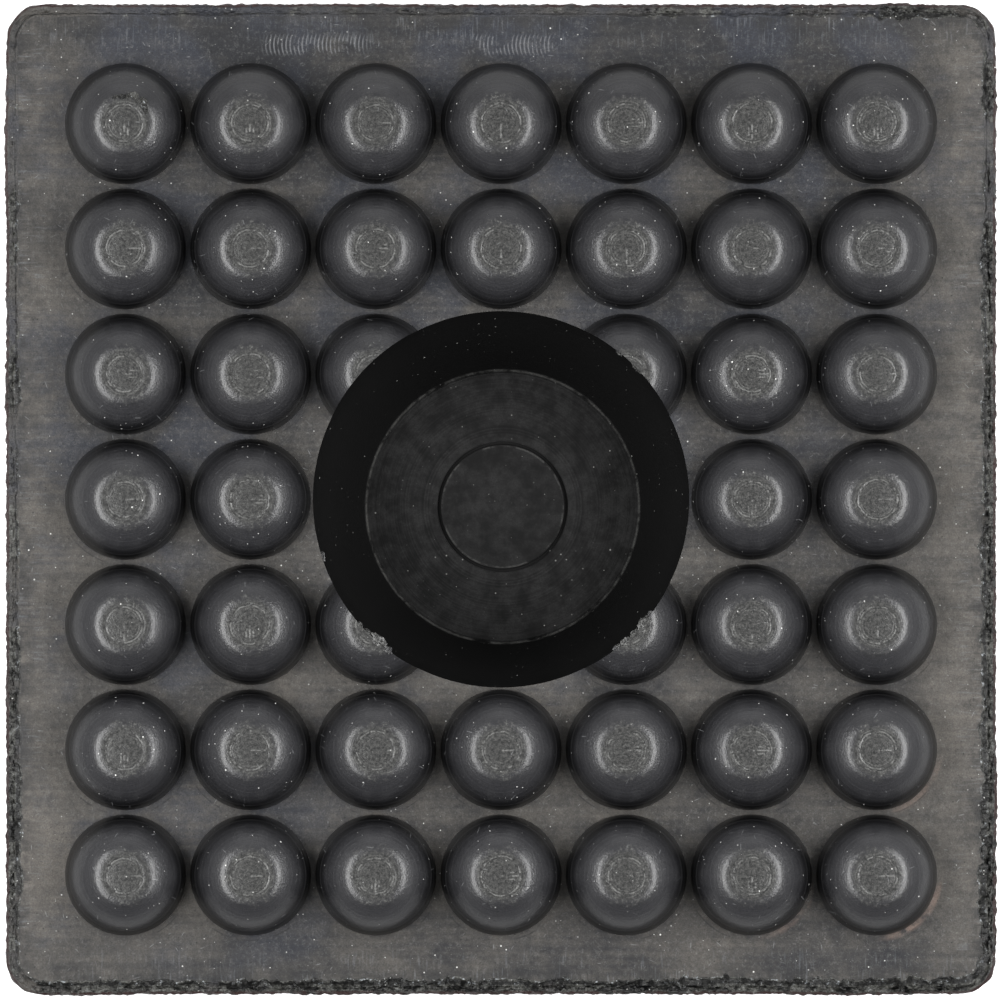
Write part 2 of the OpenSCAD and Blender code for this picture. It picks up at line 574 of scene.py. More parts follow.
# The ragged line, from the crevice behind it up to the face: how far inside it, how far
# under the face, how much noise lifts it, and its crest. The last loop lies in the face.
RAGGED_LOOPS = [
    (0.00 * MM, 0.28 * MM, 0.10 * MM, 0.6),
    (0.10 * MM, 0.05 * MM, 0.08 * MM, 1.0),
    (0.30 * MM, 0.02 * MM, 0.05 * MM, 0.5),
    (0.75 * MM, 0.00 * MM, 0.00 * MM, 0.0),
]


def torn_edge(number, inset, drop, stray, lift):
    """The move that makes one loop of the torn edge."""
    def move(co):
        place = beyond(co, 0, 0)
        torn = wear(place)
        shift = near(place, BULGES) + stray * crumbs(place, 3 * number)
        if number < LIP_LOOPS:
            fall = drop
            rise = lift * crumbs(place, 50 + 3 * number)
        else:
            fall = share_of(drop, torn)
            rise = lift * (0.10 + 1.1 * torn) * crumbs(place, 50 + 3 * number)
        return beyond(co, LIP_OUT - inset + shift, FACE_Z - fall + rise)
    return move


def ragged_line(inward, drop, lift):
    """The line where the smooth face ends. It bites further in where more is torn off."""
    def move(co):
        place = beyond(co, 0, 0)
        torn = wear(place)
        bite = (-0.05 + 0.60 * torn) * MM + (0.15 + 0.75 * torn) * MM * crumbs(place, 90, fine=0.35)
        rise = lift * torn * crumbs(place, 110)
        out = LIP_OUT - RAGGED_INSET - max(0.0, bite) - inward
        return beyond(co, out, FACE_Z - share_of(drop, torn) + rise)
    return move


print("the torn edge has", len(TORN_LOOPS) + len(RAGGED_LOOPS), "loops")

# %% [markdown]
# ## The block
#
# The outline is taken up level by level: the chamfer of the foot, the drafted side,
# the torn edge and the face. The corners of the torn loops also get two values, for
# the finish of torn rubber: how torn the place is, and its crest, which is 1 on the
# ragged line and below 0 on the rim. Values in the mesh follow the tear, which a
# pattern in space could not.

# %% Block
# The side: how far each loop stands outside the foot's outline, and how high.
SIDE_LOOPS = [
    (0.45 * FOOT_CHAMFER, 0.12 * MM),
    (0.85 * FOOT_CHAMFER, 0.42 * MM),
    (FOOT_CHAMFER, FOOT_CHAMFER),
    (SIDE_OUT, FACE_Z - 1.48 * MM),
]


def torn_layers(bm):
    """Gives the corners of a bmesh their two values: how torn they are, and their crest."""
    return bm.verts.layers.float.new("wear"), bm.verts.layers.float.new("crest")


def mark_loop(loop, crest):
    """Writes how torn each corner of a loop is, and its crest."""
    for corner in {corner for edge in loop for corner in edge.verts}:
        corner[wear_layer] = wear(beyond(corner.co, 0, 0))
        corner[crest_layer] = crest


loop = block.edges[:]
for out, height in SIDE_LOOPS:
    loop = next_loop(block, loop, lambda co: beyond(co, out, height))
smooth_faces = len(block.faces)

wear_layer, crest_layer = torn_layers(block)
for number, sizes in enumerate(TORN_LOOPS):
    loop = next_loop(block, loop, torn_edge(number, *sizes))
    mark_loop(loop, min(0.0, (number - RIM_LOOPS) / 2))
for inward, drop, lift, crest in RAGGED_LOOPS:
    torn_faces = len(block.faces)
    loop = next_loop(block, loop, ragged_line(inward, drop, lift))
    mark_loop(loop, crest)
bmesh.ops.edgeloop_fill(block, edges=loop)

block.faces.ensure_lookup_table()
for face in block.faces[smooth_faces:torn_faces]:
    face.material_index = SLOTS.index(torn_rubber)
pad = finish_mesh(block, "lift_pad_rubber")
measure(pad)

# %% [markdown]
# ## One stud
#
# A stud is turned, so it is modelled as on a lathe: half its outline, spun once
# round. A sphere cut flat would lack the blend. The outline is an arc of the ball, a
# smaller arc that blends into the flat top, and the flat with the shallow ring that
# the tool's tip left in the mould. It reaches a little under the face, so that it
# joins the block without a gap.

# %% Stud
STUD_SEGMENTS = 48
BALL_STEPS = 9
BLEND_STEPS = 5
STUD_ROOT = 0.6 * MM
TOOL_RING_STEP = 0.035 * MM

blend_z = STUD_HEIGHT - STUD_BLEND
blend_x = math.sqrt((STUD_RADIUS - STUD_BLEND) ** 2 - blend_z ** 2)
blend_angle = math.atan2(blend_z, blend_x)


def arc(middle, radius, start, end, steps):
    """Points of an arc in the outline, from start to end, without the first."""
    angles = [start + (end - start) * step / steps for step in range(1, steps + 1)]
    return [(middle[0] + radius * math.cos(angle), middle[1] + radius * math.sin(angle)) for angle in angles]


def stud_outline(ring):
    """Half the section of a stud, whose tool ring has the given radius."""
    outline = [(STUD_RADIUS, -STUD_ROOT), (STUD_RADIUS, 0)]
    outline += arc((0, 0), STUD_RADIUS, 0, blend_angle, BALL_STEPS)
    outline += arc((blend_x, blend_z), STUD_BLEND, blend_angle, math.pi / 2, BLEND_STEPS)
    outline += [(ring + 0.12 * MM, STUD_HEIGHT), (ring, STUD_HEIGHT - TOOL_RING_STEP),
                (ring - 0.15 * MM, STUD_HEIGHT - 0.4 * TOOL_RING_STEP), (0, STUD_HEIGHT)]
    return outline


def stud(ring):
    """Spins one stud round the Z axis and closes its foot."""
    one = bmesh.new()
    corners = [one.verts.new((out, 0, height)) for out, height in stud_outline(ring)]
    edges = [one.edges.new(pair) for pair in zip(corners, corners[1:])]
    bmesh.ops.spin(one, geom=corners + edges, cent=(0, 0, 0), axis=(0, 0, 1), dvec=(0, 0, 0),
                   angle=2 * math.pi, steps=STUD_SEGMENTS, use_merge=True, use_duplicate=False)
    bmesh.ops.remove_doubles(one, verts=one.verts, dist=MERGE_DISTANCE)
    bmesh.ops.edgeloop_fill(one, edges=[edge for edge in one.edges if edge.is_boundary])
    return one


print("a stud's flat top is", round(2 * blend_x / MM, 2), "mm across")

# %% [markdown]
# ## The grid of studs
#
# Seven by seven, less the five in the middle that the core leaves no room for. An
# array of copies would be lighter, but every pocket of the mould was cut one by one,
# so the tool's ring is not the same size on any two studs.

# %% Studs
RING_LEAST = 2.05
RING_MOST = 2.45

random.seed(11)
studs = bmesh.new()
stud_count = 0
for column in range(-ROWS_EACH_SIDE, ROWS_EACH_SIDE + 1):
    for row in range(-ROWS_EACH_SIDE, ROWS_EACH_SIDE + 1):
        ring = random.uniform(RING_LEAST, RING_MOST) * MM
        middle = Vector((column, row)) * STUD_PITCH
        if middle.length + STUD_RADIUS < MOUTH_RADIUS + LEAST_STUD:
            continue
        one = stud(ring)
        bmesh.ops.translate(one, verts=one.verts, vec=(middle.x, middle.y, FACE_Z))
        add_part(studs, one, stud_rubber)
        stud_count += 1
stud_field = finish_mesh(studs, "stud_field")
print("the grid has", stud_count, "studs")
measure(stud_field)

# %% [markdown]
# ## The core
#
# The core is the steel plug whose shape the recess has. It is a lathe job too: a
# circle, extruded level by level, so its wall is a true cone. A cone from the menu
# would stand upright, and this one leaned: its end sits a little off the middle of
# its mouth. The circles are therefore moved sideways level by level, and the cone
# leans with them.
#
# In the end of the core is the head of the bolt that holds it. The rim of that head
# stands out a little, and presses a fine groove round a disc into the floor.

# %% Core
CORE_SEGMENTS = 240
ABOVE = high.z + 1 * MM

# Radius, height and how far the level has slid back to the middle of the mouth,
# from the middle of the floor outwards and up.
CORE_LEVELS = [
    (WITNESS_RADIUS - 0.6 * WITNESS_WIDTH, FLOOR_Z + 0.10 * MM, 0),
    (WITNESS_RADIUS - 0.5 * WITNESS_WIDTH, FLOOR_Z - WITNESS_DEPTH, 0),
    (WITNESS_RADIUS + 0.5 * WITNESS_WIDTH, FLOOR_Z - WITNESS_DEPTH, 0),
    (WITNESS_RADIUS + 0.6 * WITNESS_WIDTH, FLOOR_Z, 0),
    (FLOOR_RADIUS - FLOOR_CHAMFER, FLOOR_Z, 0),
    (FLOOR_RADIUS, FLOOR_Z + FLOOR_CHAMFER, 0),
    (MOUTH_RADIUS, FACE_Z - MOUTH_LAND, 1),
    (MOUTH_RADIUS, ABOVE, 1),
]


def level(radius, height, middle, last_middle):
    """The move that turns a circle round the last middle into the circle of this level."""
    def move(co):
        flat = middle + radius * (co.xy - last_middle).normalized()
        return Vector((flat.x, flat.y, height))
    return move


core_mesh = bmesh.new()
bmesh.ops.create_circle(core_mesh, cap_ends=True, segments=CORE_SEGMENTS, radius=1)
loop = core_mesh.edges[:]
last_middle = Vector((0, 0))
for number, (radius, height, slide) in enumerate(CORE_LEVELS):
    middle = FLOOR_MIDDLE * (1 - slide)
    move = level(radius, height, middle, last_middle)
    if number > 0:
        loop = next_loop(core_mesh, loop, move)
    else:
        for corner in core_mesh.verts:
            corner.co = move(corner.co)
    last_middle = middle
bmesh.ops.edgeloop_fill(core_mesh, edges=loop)
for face in core_mesh.faces:
    face.material_index = SLOTS.index(core_rubber)
core = finish_mesh(core_mesh, "core")
measure(core)

# %% [markdown]
# ## Joining the studs and cutting the recess
#
# The pad is one piece of rubber, so its mesh is one closed skin. Joining the loops
# by hand would take a bridge round every stud. Boolean modifiers, applied at once,
# find the seams by themselves and keep each face's finish. Cutting after joining
# also slices the four studs nearest the middle, as the real core does.

# %% Join and cut
def boolean(piece, other, operation):
    """Applies one Boolean modifier to a piece and removes the other object."""
    modifier = piece.modifiers.new(operation.lower(), "BOOLEAN")
    modifier.operation = operation
    modifier.solver = "MANIFOLD"
    modifier.object = other
    graph = bpy.context.evaluated_depsgraph_get()
    mesh = bpy.data.meshes.new_from_object(piece.evaluated_get(graph))
    piece.modifiers.clear()
    old = piece.data
    piece.data = mesh
    bpy.data.meshes.remove(old)
    bpy.data.objects.remove(other)
    mesh.name = piece.name
    measure(piece)


boolean(pad, stud_field, "UNION")
boolean(pad, core, "DIFFERENCE")
print("values kept:", [layer.name for layer in pad.data.attributes if layer.name in ("wear", "crest")])
print("faces of each finish:", [sum(face.material_index == slot for face in pad.data.polygons)
                                for slot in range(len(SLOTS))])

# %% [markdown]
# ## Crumbs at the mouth
#
# Where the core cuts the four studs, thin webs of rubber tore off and left crumbs
# that hang over the recess. One more hangs on the rim at the left, level with the
# face. Roughening the rim itself would make it wavy all round. Each crumb is
# therefore a ball of its own that is flattened, roughened with noise and joined to
# the rim.

# %% Crumbs at the mouth
# Angle round the mouth in degrees, height under the top, length, reach and thickness.
CRUMBS = [
    (229.2, 0.35, 1.15, 0.75, 0.40),
    (233.0, 0.40, 0.60, 0.42, 0.35),
    (224.8, 0.40, 0.55, 0.35, 0.35),
    (221.5, 0.40, 0.40, 0.25, 0.30),
    (308.0, 0.40, 0.55, 0.35, 0.35),
    (311.2, 0.35, 0.75, 0.40, 0.35),
    (315.0, 0.35, 0.65, 0.30, 0.35),
    (319.2, 0.40, 0.85, 0.55, 0.40),
    (322.5, 0.45, 0.45, 0.35, 0.30),
    (44.0, 0.40, 0.80, 0.25, 0.35),
    (51.0, 0.45, 0.50, 0.30, 0.30),
    (197.5, 6.78, 0.60, 0.40, 0.18),
]


def about_z(angle):
    """A turn about the Z axis by an angle in degrees."""
    return Matrix.Rotation(math.radians(angle), 3, "Z")


def crumb(number, seat, turn, shape, fineness):
    """A roughened ball of rubber. The number makes its lumps its own."""
    one = bmesh.new()
    bmesh.ops.create_icosphere(one, subdivisions=fineness, radius=1)
    for corner in one.verts:
        bump = 1 + 0.45 * noise.noise(1.6 * corner.co + Vector((7.7 * number, 0, 0)))
        bump += 0.25 * noise.noise(4.5 * corner.co + Vector((0, 3.1 * number, 0)))
        corner.co = seat + turn @ (bump * corner.co * shape)
    return one


crumbs_mesh = bmesh.new()
for number, (angle, depth, length, reach, thickness) in enumerate(CRUMBS):
    turn = about_z(angle)
    seat = turn @ Vector((MOUTH_RADIUS, 0, 0)) + Vector((0, 0, high.z - depth * MM))
    one = crumb(number, seat, turn, Vector((reach, length, thickness)) * MM, fineness=4)
    add_part(crumbs_mesh, one, stud_rubber)
boolean(pad, finish_mesh(crumbs_mesh, "crumbs"), "UNION")

# %% [markdown]
# ## The torn stud
#
# The first stud of the back row is torn along the back of its flat top: a row of
# small crumbs stands on it. A bump in the finish would not throw the crumbs' small
# shadows, so they are made as the ones at the mouth, with the finish of torn rubber.

# %% Torn stud
TORN_STUD = Vector((-3, 3)) * STUD_PITCH
# Angle round the stud in degrees, distance from its axis, length, reach and thickness.
TORN_TOP = [
    (109, 3.25, 0.45, 0.25, 0.16),
    (97, 3.15, 0.35, 0.30, 0.20),
    (84, 3.20, 0.45, 0.30, 0.22),
    (72, 3.50, 0.55, 0.45, 0.20),
    (60, 3.15, 0.50, 0.40, 0.22),
    (49, 3.50, 0.50, 0.40, 0.20),
    (38, 3.10, 0.45, 0.35, 0.20),
    (29, 2.95, 0.30, 0.25, 0.16),
]
FIRST_NUMBER = 20

torn_top = bmesh.new()
for number, (angle, distance, length, reach, thickness) in enumerate(TORN_TOP, FIRST_NUMBER):
    turn = about_z(angle)
    rise = blend_z + math.sqrt(STUD_BLEND ** 2 - (distance * MM - blend_x) ** 2)
    seat = turn @ Vector((distance * MM, 0, FACE_Z + rise)) + TORN_STUD.to_3d()
    one = crumb(number, seat, turn, Vector((reach, length, thickness)) * MM, fineness=3)
    add_part(torn_top, one, torn_rubber)
wear_layer, crest_layer = torn_layers(torn_top)
for corner in torn_top.verts:
    corner[wear_layer] = 1.0
    corner[crest_layer] = 0.8
boolean(pad, finish_mesh(torn_top, "torn_top"), "UNION")

# %% [markdown]
# ## Skins at two studs
#
# At the feet of the two last studs of the front row a thin skin of rubber lies on
# the face. A flattened ring would be too even. A skin is a flat strip whose section
# is carried round the stud step by step. Its outer edge is then moved in and out by
# noise, and tapers off at both ends.

# %% Skins
# Column and row of the stud, where the skin starts and ends round it in degrees, and its reach.
SKINS = [
    (3, -3, -112, -22, 1.25 * MM),
    (2, -3, -98, -36, 0.65 * MM),
]
SKIN_STEPS = 60
SKIN_SUNK = -0.30 * MM
SKIN_INSIDE = -0.5 * MM


def skin(number, start, end, reach):
    """A skin round a stud that stands at the origin, from one angle to another."""
    one = bmesh.new()
    section = [(SKIN_INSIDE, SKIN_SUNK), (reach, SKIN_SUNK), (reach, 0.15 * MM), (SKIN_INSIDE, 0.20 * MM)]
    begin = about_z(start)
    corners = [one.verts.new(begin @ Vector((STUD_RADIUS + out, 0, height))) for out, height in section]
    first_loop = [one.edges.new(pair) for pair in zip(corners, corners[1:] + corners[:1])]
    loop = first_loop
    step = about_z((end - start) / SKIN_STEPS)
    for _ in range(SKIN_STEPS):
        loop = next_loop(one, loop, lambda co: step @ co)
    bmesh.ops.edgeloop_fill(one, edges=first_loop)
    bmesh.ops.edgeloop_fill(one, edges=loop)
    for corner in one.verts:
        outwards = corner.co.xy.length - STUD_RADIUS
        along = (math.degrees(math.atan2(corner.co.y, corner.co.x)) - start) / (end - start)
        taper = max(0.0, 1 - (2 * along - 1) ** 2) ** 0.4
        if outwards > 0:
            ragged = 1 + 0.35 * rough(corner.co, 2.2 * MM, 130 + number)
            ragged += 0.25 * rough(corner.co, 0.7 * MM, 140)
            corner.co.xy *= (STUD_RADIUS + outwards * (0.05 + 0.95 * taper * ragged)) / corner.co.xy.length
    return one


skins = bmesh.new()
for number, (column, row, start, end, reach) in enumerate(SKINS):
    one = skin(number, start, end, reach)
    bmesh.ops.translate(one, verts=one.verts, vec=(column * STUD_PITCH, row * STUD_PITCH, FACE_Z))
    add_part(skins, one, face_rubber)
boolean(pad, finish_mesh(skins, "skins"), "UNION")

# %% [markdown]
# ## Smooth shading
#
# Domes and cones are round on the real pad, and finer meshes would only make their
# facets smaller. They are shaded smooth instead, and every edge that is sharper than the
# crease angle stays an edge: the studs' feet and the rims of the recess. The tear is
# shaded flat, so that its crumbs catch the light one by one.

# %% Shading
CREASE_ANGLE = 32

pad.data.shade_smooth()
pad.data.set_sharp_from_angle(angle=math.radians(CREASE_ANGLE))
for face in pad.data.polygons:
    face.use_smooth = face.material_index != SLOTS.index(torn_rubber)
print(sum(edge.use_edge_sharp for edge in pad.data.edges), "edges stay sharp")

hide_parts("lift_pad")
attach(pad, "root")

# %% [markdown]
# ## Groups for effects
#
# Bloom, dust, scratches and grain lie on more than one finish. Copying their nodes
# into each material would work, until one copy is changed and the others are not. A
# node group is built once and placed where it is needed. `shade` turns the colour
# that the eye should see into the linear numbers that a shader wants.

# %% Group helper
def new_group(name, inputs, outputs):
    """Makes a node group. Gives it, the helper for its tree, its inputs and a way to fill its outputs."""
    group = bpy.data.node_groups.new(name, "ShaderNodeTree")
    for label, kind in inputs.items():
        group.interface.new_socket(label, in_out="INPUT", socket_type="NodeSocket" + kind)
    for label, kind in outputs.items():
        group.interface.new_socket(label, in_out="OUTPUT", socket_type="NodeSocket" + kind)
    start = group.nodes.new("NodeGroupInput")
    end = group.nodes.new("NodeGroupOutput")

    def fill(**values):
        for label, value in values.items():
            group.links.new(value, end.inputs[label])
        print("group", name, "has", len(group.nodes), "nodes")

    return group, Tree(group), start.outputs, fill


def shade(red, green, blue):
    """The colour that is seen as these three levels out of 255."""
    return tuple(((level / 255 + 0.055) / 1.055) ** 2.4 if level > 10 else level / 255 / 12.92
                 for level in (red, green, blue)) + (1,)


DUST = shade(228, 228, 225)
SCRATCHED = shade(170, 172, 174)
print("dust in linear numbers:", [round(part, 3) for part in DUST[:3]])

# %% [markdown]
# ## Bloom
#
# As rubber ages, wax and sulphur creep out of it and leave a grey film. It lies in
# broad patches and smaller clouds, with faint streaks that follow the milling of
# the plate. One noise with more detail would give clouds of every size alike. Three
# noises, added up, can each have their own size and weight.

# %% Bloom group
bloom_group, tree, given, fill = new_group("bloom", {"Place": "Vector"}, {"Share": "Float"})
place = given["Place"]
patches = tree.noise(place, 0.07, detail=2, roughness=0.6)
clouds = tree.noise(place, 0.5, detail=2, roughness=0.8)
streaks = tree.noise(tree.vector("MULTIPLY", place, (0.05, 1.3, 1)), 1.0, detail=1, roughness=0.8)
total = tree.plus(tree.times(patches, 0.8), tree.times(clouds, 0.6), tree.times(streaks, 0.4))
fill(Share=tree.node("MapRange", {"Value": total, "From Min": 0.60, "From Max": 1.20}).outputs[0])

# %% [markdown]
# ## Dust and pits
#
# Rubber draws dust. The specks are a tenth of a millimetre across and scattered by
# chance. Real grains, strewn by a particle system, would be thousands of pieces. Here
# they are drawn: little balls round the cell centres of a Voronoi pattern, of which
# only some cells get one. Most are faint, and a broad noise thins them out here and
# there. A few of the other cells hold a small dark pit instead, where gas was trapped.

# %% Dust group
dust_group, tree, given, fill = new_group("dust", {"Place": "Vector"}, {"Mask": "Float", "Pits": "Float"})
place = given["Place"]
cells = tree.node("TexVoronoi", {"Vector": place, "Scale": 1.5}).outputs
chance = tree.parts(cells["Color"])
reach = tree.times(tree.math("POWER", chance[0], 3.2), 0.20)
speck = tree.ramp(cells["Distance"], reach, tree.times(reach, 0.5))
gathered = tree.ramp(tree.noise(place, 0.15, detail=0), 0.25, 0.6)
pits = tree.times(tree.ramp(cells["Distance"], 0.25, 0.10), tree.ramp(chance[2], 0.80, 1.0))
fill(Mask=tree.times(speck, gathered, tree.spread(chance[1], 0.1, 1.45)), Pits=pits)

# %% [markdown]
# ## Scratches
#
# Short fine scratches, each with a direction of its own. A stretched noise would
# turn them all the same way. A coarse Voronoi pattern gives every cell its middle and
# three chance numbers instead. The place is counted from that middle, turned by the
# first number, and a thin stroke is drawn along x.

# %% Scratch group
scratch_group, tree, given, fill = new_group("scratches", {"Place": "Vector"}, {"Mask": "Float"})
place = given["Place"]
cells = tree.node("TexVoronoi", {"Vector": place, "Scale": 0.5}).outputs
chance = tree.parts(cells["Color"])
away = tree.vector("SUBTRACT", place, cells["Position"])
turned = tree.node("VectorRotate", {"Vector": away, "Angle": tree.times(chance[0], math.pi)},
                   rotation_type="Z_AXIS").outputs[0]
along, aside, _ = tree.parts(turned)
reach = tree.times(chance[1], 0.55)
stroke = tree.ramp(tree.size(along), reach, tree.times(reach, 0.3))
thin = tree.ramp(tree.size(aside), 0.07, 0.02)
fill(Mask=tree.times(stroke, thin, tree.ramp(chance[2], 0.6, 1.0)))

# %% [markdown]
# ## Grain
#
# Up close, moulded rubber is not flat: it copies the blasted steel. Modelling that
# would take millions of faces, and a bump from noise is enough. The group gives a
# height from 0 to 1, and a finer noise that makes the film of bloom look like
# powder.

# %% Grain group
grain_group, tree, given, fill = new_group("grain", {"Place": "Vector"}, {"Height": "Float", "Fine": "Float"})
place = given["Place"]
fill(Height=tree.noise(place, 2.2, detail=2, roughness=0.85), Fine=tree.noise(place, 5.5, detail=1))

# %% [markdown]
# ## Where on a stud
#
# Some marks belong to one stud: the ring and the line on its top, and dirt at its
# foot. A UV map for each stud could carry them. The studs stand in a square grid,
# though, so one stud's own middle is found by rounding the place to the pitch, but
# no further out than the last row. The group gives the place counted from that
# middle, the distance to it, and three chance numbers that are the same all over one
# stud.

# %% Stud place group
stud_group, tree, given, fill = new_group(
    "stud_place", {"Place": "Vector"}, {"Local": "Vector", "Radius": "Float", "Chance": "Vector"})
pitch = STUD_PITCH / MM
half = pitch / 2
last = ROWS_EACH_SIDE * pitch
cell = tree.vector("SNAP", tree.vector("ADD", given["Place"], (half, half, 0)), (pitch, pitch, 1000))
cell = tree.vector("MINIMUM", tree.vector("MAXIMUM", cell, (-last, -last, 0)), (last, last, 0))
local = tree.vector("SUBTRACT", given["Place"], cell)
radius = tree.length(tree.vector("MULTIPLY", local, (1, 1, 0)))
chance = tree.node("TexWhiteNoise", {"Vector": cell}, noise_dimensions="2D").outputs["Color"]
fill(Local=local, Radius=radius, Chance=chance)

# %% [markdown]
# ## The colour of bloomed rubber
#
# The bloom makes the face the palest part: a warm grey where it is thick and a bluish
# black where it is thin. The colour is also paler towards the front and near the left
# and right sides, and darker along the back edge and in strips along the front and back
# edges. One even grey would look like plastic. The torn edge has the same bloom where
# little was torn off, so the colour is a function for both finishes.

# %% Colour of bloomed rubber
THIN_BLOOM = shade(36, 37, 41)
BLOOM = shade(77, 74, 70)
THICK_BLOOM = shade(103, 98, 92)
BLUE_BLOOM = shade(52, 57, 70)


def bloomed_colour(tree, place, bloom):
    """The colour of bloomed rubber, paler towards the front and the sides."""
    x, y, _ = tree.parts(place)
    # Paler towards the front and the sides, darker along the back and in strips along the front and back
    # edges.
    drift = tree.minus(tree.times(x, -0.0003), tree.times(y, 0.0026))
    wide, deep = tree.size(x), tree.size(y)
    sides = tree.times(tree.ramp(wide, 47, 57), tree.spread(tree.ramp(wide, 59.2, 57.8), 0.15, 0.42))
    ends = tree.times(tree.ramp(deep, 47, 56), tree.ramp(deep, 59.2, 57.0), 0.22)
    share = tree.plus(bloom, tree.plus(drift, tree.minus(sides, ends)))
    colour = tree.mix(tree.ramp(share, -0.1, 0.9), THIN_BLOOM, BLOOM)
    colour = tree.mix(tree.ramp(share, 0.6, 1.5), colour, THICK_BLOOM)
    blue_patches = tree.ramp(tree.noise(place, 0.11, detail=1), 0.46, 0.62)
    back_left = tree.ramp(tree.minus(x, y), 70, -10)
    return tree.over(colour, BLUE_BLOOM, blue_patches, tree.ramp(share, 1.2, 0.4), back_left, 0.45)


def principled(material):
    """Gives the helper for a material's tree, and its Principled shader's inputs."""
    tree = material.node_tree
    return Tree(tree), tree.nodes["Principled BSDF"].inputs


print("bloomed rubber goes from", THIN_BLOOM[:3], "to", THICK_BLOOM[:3])

# %% [markdown]
# ## The face: marks of the mould
#
# The face copies a milled steel plate, and the cutter's half-circle marks show in two
# places along the back edge. Near the tear the frame of the mould left short strokes
# across the edge. Both are too shallow to model. They are drawn as masks, which the
# colour and the bump then share, so that they lie in the same place.

# %% Marks on the face
MILL_STROKE = 0.49
MILL_RADIUS = 3.2
MILL_ROW = 55.2


def cutter_marks(tree, x, y, start, end):
    """Half-circle strokes of an end mill between two places along x, near the back edge."""
    rise = tree.minus(y, MILL_ROW)
    bow = tree.math("SQRT", tree.larger(tree.minus(MILL_RADIUS ** 2, tree.times(rise, rise)), 0.0))
    wave = tree.ramp(tree.math("SINE", tree.times(tree.plus(x, bow), 2 * math.pi / MILL_STROKE)), 0.1, 0.9)
    across = tree.times(tree.ramp(x, start, start + 3), tree.ramp(x, end, end - 3))
    return tree.times(wave, across, tree.ramp(tree.size(rise), 1.5, 0.7))


tree, rubber = principled(face_rubber)
place = tree.millimetres()
x, y, _ = tree.parts(place)
bloom = tree.group(bloom_group, Place=place)["Share"]
dust = tree.group(dust_group, Place=place)
scratches = tree.group(scratch_group, Place=place)["Mask"]
grain = tree.group(grain_group, Place=place)
on_stud = tree.group(stud_group, Place=place)
local = tree.parts(on_stud["Local"])
patchy = tree.noise(place, 0.4, detail=3, roughness=0.7)

marks = tree.plus(cutter_marks(tree, x, y, -30, -15), cutter_marks(tree, x, y, -6, 8))
marks = tree.times(marks, tree.ramp(patchy, 0.40, 0.52))

reach_x, reach_y = tree.size(x), tree.size(y)
outer = tree.larger(reach_x, reach_y)
along = tree.choose(tree.math("GREATER_THAN", reach_x, reach_y), x, y)
strokes = tree.noise(tree.join(tree.times(along, 3.6), tree.times(outer, 0.35), 0), 1.0, detail=1)
near_tear = tree.times(tree.ramp(outer, 53.5, 57.5), tree.ramp(tree.noise(place, 0.22, detail=1), 0.38, 0.58))
pale_strokes = tree.times(tree.ramp(strokes, 0.55, 0.72), near_tear)
dark_strokes = tree.times(tree.ramp(strokes, 0.45, 0.28), tree.ramp(outer, 55.0, 58.5), near_tear)
# Painted shade: the face darkens where it rounds down towards the tear.
painted_edge_shade = tree.times(tree.ramp(outer, 55.0, 58.6), tree.ramp(patchy, 0.40, 0.62))
print("the face has", len(tree.tree.nodes), "nodes so far")

# %% [markdown]
# ## The face: dirt and painted shade at the studs
#
# At the front right, tan dirt has stayed in the crevice at the foot of the studs. A
# little further out, on the front side of every stud, runs a fine dark line of painted
# shade. Both are rings round a stud's own middle, of which noise leaves only pieces.

# %% Dirt and painted shade at the studs
front_right = tree.ramp(tree.minus(x, y), 76, 98)
stud_front_right = tree.ramp(tree.minus(local[0], local[1]), 7.5, 10.5)
foot = tree.times(tree.ramp(on_stud["Radius"], 8.25, 7.75), stud_front_right)
foot = tree.times(foot, front_right, tree.ramp(patchy, 0.32, 0.58))
# Painted shade: a fine dark line round the front of each stud's foot.
painted_foot_shade = tree.times(tree.ramp(tree.off(on_stud["Radius"], 7.95), 0.13, 0.03),
                    tree.ramp(local[1], -2, -6), tree.ramp(patchy, 0.45, 0.6))
print("the face has", len(tree.tree.nodes), "nodes so far")

# %% [markdown]
# ## The face: colour and relief
#
# The colours are laid over each other like coats of paint: bloom first, then the
# grain's peaks and hollows, the marks, painted shade near the tear, dirt, a line of
# painted shade at the studs' feet, scratches and dust on top. A ColorRamp of one noise
# could not keep them apart.

# %% Face finish
colour = bloomed_colour(tree, place, bloom)
colour = tree.over(colour, shade(122, 122, 120), tree.ramp(grain["Height"], 0.48, 0.85), 0.45)
colour = tree.over(colour, shade(28, 28, 29), tree.ramp(grain["Height"], 0.45, 0.15), 0.7)
colour = tree.over(colour, shade(140, 142, 146), marks, 0.45)
colour = tree.over(colour, shade(124, 128, 132), pale_strokes, 0.35)
colour = tree.over(colour, shade(34, 34, 35), dark_strokes, 0.6)
colour = tree.over(colour, shade(38, 38, 39), painted_edge_shade, 0.75)
colour = tree.over(colour, shade(132, 114, 104), foot, 0.85)
colour = tree.over(colour, shade(30, 29, 30), painted_foot_shade, 0.6)
colour = tree.over(colour, shade(20, 20, 20), dust["Pits"], 0.8)
colour = tree.over(colour, SCRATCHED, scratches, 0.35)
colour = tree.over(colour, DUST, dust["Mask"])

tree.put(tree.scaled(colour, tree.spread(grain["Fine"], 0.46, 1.40)), rubber["Base Color"])
tree.put(tree.spread(bloom, 0.42, 0.60), rubber["Roughness"])
relief = tree.plus(grain["Height"], tree.times(marks, 0.8))
tree.put(tree.bump(relief, distance=0.035 * MM), rubber["Normal"])
print("face_rubber has", len(tree.tree.nodes), "nodes")

# %% [markdown]
# ## The studs: marks of the tool
#
# The tool that cut the pockets left a ring on each flat top, a fainter one beside it,
# and a short line from the middle to the ring, on some studs with a thinner pair of
# lines beside it. The line points to the right on some studs and to the front on
# others. The ring also has a little real depth in the mesh. The lines are too fine
# for that, so they are drawn with the place on the stud and its chance numbers.

